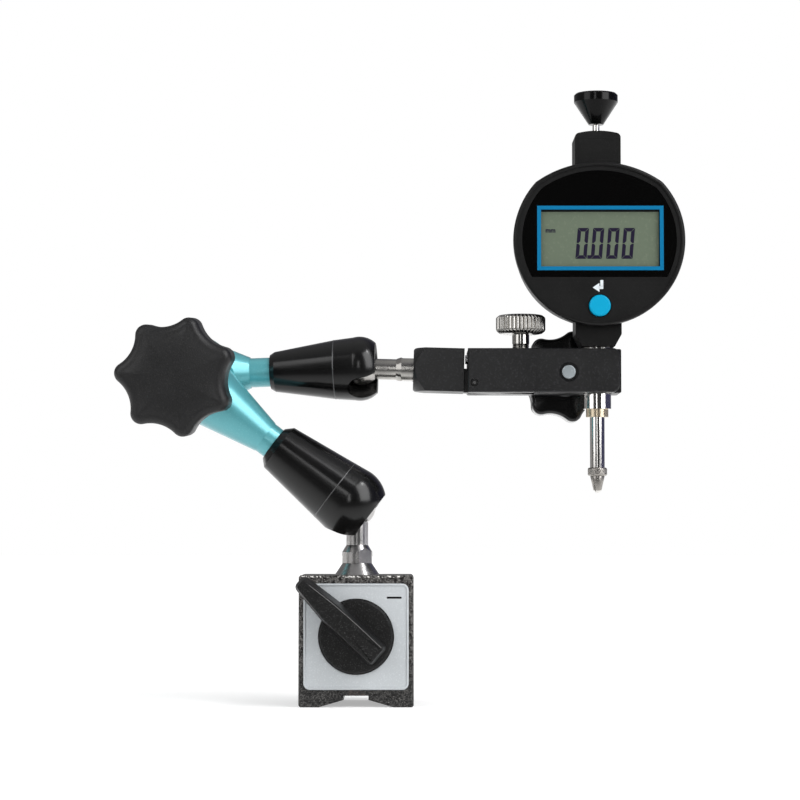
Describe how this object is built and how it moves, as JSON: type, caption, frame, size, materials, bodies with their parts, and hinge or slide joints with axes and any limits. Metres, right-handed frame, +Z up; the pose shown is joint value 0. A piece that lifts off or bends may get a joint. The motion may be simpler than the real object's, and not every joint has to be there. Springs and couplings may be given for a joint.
{
  "type": "magnetic indicator stand",
  "caption": "Magnetic stand with a lever switch, two jointed arms locked by a star knob, a fine-adjust clamp head and a digital indicator.",
  "frame": {"origin": "on the floor, at the middle of the V groove's length, under the ball stud of the base", "axes": "+Z up, +X to the right along the reach of the indicator, +Y away from the viewer, along the groove"},
  "size_m": [0.1596, 0.0609, 0.1744],
  "materials": {
    "magnet_paint": "hammered dark grey paint",
    "magnet_brass": "painted over with the base's hammered paint",
    "plate": "satin",
    "switch_plastic": "fine matt grain",
    "magnet_core": "plain",
    "bright_steel": "turned",
    "dark_steel": "turned, darkened",
    "turquoise": "turquoise anodised, satin",
    "black_anodised": "black, glossy",
    "hardened_steel": "ground",
    "knob_plastic": "fine matt grain",
    "knob_gloss": "glossy",
    "brass": "turned",
    "black_block": "black, satin",
    "chrome": "bright",
    "champagne": "pale, warm",
    "case_plastic": "fine grain",
    "lens_black": "glossy",
    "display": "grey-green liquid crystal",
    "button_blue": "glossy blue",
    "circuit": "green",
    "cell": "plated",
    "scale_glass": "clear"
  },
  "bodies": {
    "base": {"pole_left": "magnet_paint", "pole_right": "magnet_paint", "top_spacer": "magnet_brass", "bottom_spacer": "magnet_brass", "tie_rods": "bright_steel", "face_plate": "plate", "rear_cover": "plate"},
    "switch": {"switch_lever": "switch_plastic", "rotor_magnet": "magnet_core", "rotor_screw": "bright_steel"},
    "lower_stud": {"lower_ball_stud": "bright_steel"},
    "lower_arm": {"lower_arm_tube": "turquoise", "lower_sleeve": "black_anodised", "lower_socket_cap": "black_anodised", "lower_ball_seat": "hardened_steel", "lower_push_rod": "hardened_steel", "lower_wedge": "hardened_steel", "clamp_bolt": "bright_steel", "thrust_washer": "bright_steel", "release_spring": "hardened_steel", "bolt_washer": "bright_steel"},
    "upper_arm": {"upper_arm_tube": "turquoise", "upper_sleeve": "black_anodised", "upper_socket_cap": "black_anodised", "upper_ball_seat": "hardened_steel", "upper_push_rod": "hardened_steel", "upper_wedge": "hardened_steel"},
    "elbow_knob": {"star_knob": "knob_plastic", "knob_insert": "brass"},
    "upper_stud": {"upper_ball_stud": "dark_steel"},
    "shank": {"shank_block": "black_block"},
    "clamp_head": {"clamp_body": "black_block", "pivot_pin": "hardened_steel", "preload_pin": "hardened_steel", "set_screw": "dark_steel"},
    "fine_adjuster": {"fine_screw": "chrome"},
    "jaw_knob": {"clamp_knob": "knob_gloss", "clamp_screw": "bright_steel"},
    "jaw": {"front_jaw": "black_block"},
    "indicator": {"gauge_case": "case_plastic", "gauge_bezel": "case_plastic", "back_cover": "case_plastic", "cover_screws": "bright_steel", "front_lens": "lens_black", "lcd_panel": "display", "circuit_board": "circuit", "encoder_head": "knob_gloss", "battery_cell": "cell", "stem": "chrome", "stem_ring": "champagne", "return_spring": "hardened_steel"},
    "spindle": {"plunger": "chrome", "measuring_scale": "scale_glass", "contact_point": "chrome", "contact_ball": "chrome", "lift_cap": "knob_gloss"},
    "button": {"set_button": "button_blue"}
  },
  "joints": [
    {"name": "magnet_switch", "type": "hinge", "parent": "base", "child": "switch", "pos_m": [0, 0, 0.01935], "axis": [0, 1, 0], "range_deg": [0, 90]},
    {"name": "stud_swivel", "type": "hinge", "parent": "base", "child": "lower_stud", "pos_m": [0, 0, 0.05507], "axis": [0, 0, 1], "continuous": true},
    {"name": "lower_tilt", "type": "hinge", "parent": "lower_stud", "child": "lower_arm", "pos_m": [0, 0, 0.05507], "axis": [0, -1, 0], "range_deg": [-60, 35]},
    {"name": "elbow_fold", "type": "hinge", "parent": "lower_arm", "child": "upper_arm", "pos_m": [-0.04884, 0, 0.09228], "axis": [0.056, 0.9957, 0.0735], "range_deg": [-180, 20]},
    {"name": "knob_turn", "type": "hinge", "parent": "lower_arm", "child": "elbow_knob", "pos_m": [-0.04884, 0, 0.09228], "axis": [0.056, 0.9957, 0.0735], "range_deg": [-360, 0]},
    {"name": "upper_tilt", "type": "hinge", "parent": "upper_arm", "child": "upper_stud", "pos_m": [0.00107, 0.01005, 0.09493], "axis": [-0.0656, -0.6947, 0.7163], "range_deg": [-65, 14]},
    {"name": "shank_spin", "type": "hinge", "parent": "upper_stud", "child": "shank", "pos_m": [0.00107, 0.01005, 0.09493], "axis": [0.9997, 0, -0.0262], "continuous": true},
    {"name": "fine_turn", "type": "hinge", "parent": "clamp_head", "child": "fine_adjuster", "pos_m": [0.0467, 0.01005, 0.10485], "axis": [0, 0, -1], "range_deg": [-300, 300]},
    {"name": "fine_tilt", "type": "hinge", "parent": "shank", "child": "clamp_head", "pos_m": [0.0332, 0.01005, 0.0905], "axis": [0, -1, 0], "range_deg": [-1.75, 1.75]},
    {"name": "jaw_knob_turn", "type": "hinge", "parent": "clamp_head", "child": "jaw_knob", "pos_m": [0.06, 0.01005, 0.0935], "axis": [0, 1, 0], "range_deg": [0, 361]},
    {"name": "jaw_slide", "type": "slide", "parent": "clamp_head", "child": "jaw", "axis": [0, -1, 0], "range_m": [0, 0.0007]},
    {"name": "indicator_swivel", "type": "hinge", "parent": "clamp_head", "child": "indicator", "pos_m": [0.06855, 0.01005, 0.1003], "axis": [0, 0, 1], "range_deg": [-10, 10]},
    {"name": "spindle_slide", "type": "slide", "parent": "indicator", "child": "spindle", "axis": [0, 0, 1], "range_m": [0, 0.012], "stiffness_N_per_m": 60, "springref_m": -0.01, "deforming": ["return_spring"]},
    {"name": "button_press", "type": "slide", "parent": "indicator", "child": "button", "axis": [0, 1, 0], "range_m": [0, 0.0007], "stiffness_N_per_m": 800, "springref_m": -0.0005}
  ],
  "couplings": [
    {"joint": "fine_turn", "follows": "fine_tilt", "ratio": 169.65},
    {"joint": "jaw_knob_turn", "follows": "jaw_slide", "rad_per_m": 8976}
  ]
}
